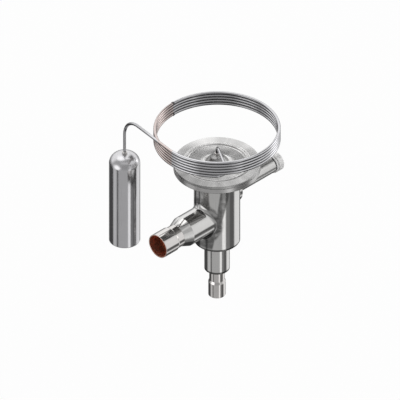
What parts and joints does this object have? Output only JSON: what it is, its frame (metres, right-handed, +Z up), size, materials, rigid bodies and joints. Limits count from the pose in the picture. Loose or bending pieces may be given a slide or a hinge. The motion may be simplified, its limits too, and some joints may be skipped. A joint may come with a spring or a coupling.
{
  "type": "thermostatic expansion valve",
  "caption": "Angle-way refrigerant expansion valve with round diaphragm element, coiled capillary tube, sensing bulb and solder sockets.",
  "frame": {"origin": "centre of the inlet socket's mouth, on the valve's own axis", "axes": "+Z up the valve's axis towards the diaphragm element, -Y along the outlet, +Y along the adjusting spindle"},
  "size_m": [0.1084, 0.1153, 0.1397],
  "materials": {
    "steel_body": "polished",
    "connector_steel": "polished",
    "copper_lining": "dull",
    "cover_steel": "satin",
    "tube_steel": "satin",
    "bulb_steel": "polished",
    "spring_steel": "satin",
    "brass": "turned",
    "seal_rubber": "matt",
    "seal_grey": "matt",
    "cap_steel": "polished"
  },
  "bodies": {
    "valve": {"valve_body": "steel_body", "inlet_connector": "connector_steel", "outlet_connector": "connector_steel", "inlet_copper_lining": "copper_lining", "outlet_copper_lining": "copper_lining", "element_lower_cover": "cover_steel", "element_top_cover": "cover_steel", "diaphragm": "spring_steel", "element_ferrule": "tube_steel", "bulb_ferrule": "tube_steel", "capillary_tube": "tube_steel", "sensing_bulb": "bulb_steel", "orifice_seat": "brass", "seat_gasket": "seal_rubber", "pin_guide_bush": "brass", "strainer_ring": "brass", "inlet_strainer": "spring_steel", "retaining_ring": "spring_steel", "superheat_spring": "spring_steel", "spindle_housing": "steel_body", "gland_ring": "brass"},
    "cone_group": {"valve_cone": "spring_steel", "push_pin": "spring_steel", "thrust_pad": "spring_steel"},
    "nut": {"adjusting_nut": "brass"},
    "crown_wheel": {"crown_gear": "brass"},
    "spindle": {"adjusting_spindle": "spring_steel", "spindle_orings": "seal_rubber"},
    "cap": {"seal_cap": "cap_steel", "cap_gasket": "seal_grey"}
  },
  "joints": [
    {"name": "pin_stroke", "type": "slide", "parent": "valve", "child": "cone_group", "axis": [0, 0, -1], "range_m": [0, 0.0008], "stiffness_N_per_m": 5000, "springref_m": -0.001, "deforming": ["superheat_spring"]},
    {"name": "spindle_turn", "type": "hinge", "parent": "valve", "child": "spindle", "pos_m": [0, 0, 0.0819], "axis": [0, 1, 0], "range_deg": [-1080, 1080]},
    {"name": "crown_turn", "type": "hinge", "parent": "valve", "child": "crown_wheel", "pos_m": [0, 0, 0.0875], "axis": [0, 0, 1], "range_deg": [-360, 360]},
    {"name": "nut_travel", "type": "slide", "parent": "valve", "child": "nut", "axis": [0, 0, 1], "range_m": [-0.001, 0.001]},
    {"name": "cap_removal", "type": "slide", "parent": "valve", "child": "cap", "axis": [0, 1, 0], "range_m": [0, 0.015]}
  ],
  "couplings": [
    {"joint": "crown_turn", "follows": "nut_travel", "rad_per_m": -6283.2},
    {"joint": "spindle_turn", "follows": "nut_travel", "rad_per_m": 18850}
  ]
}
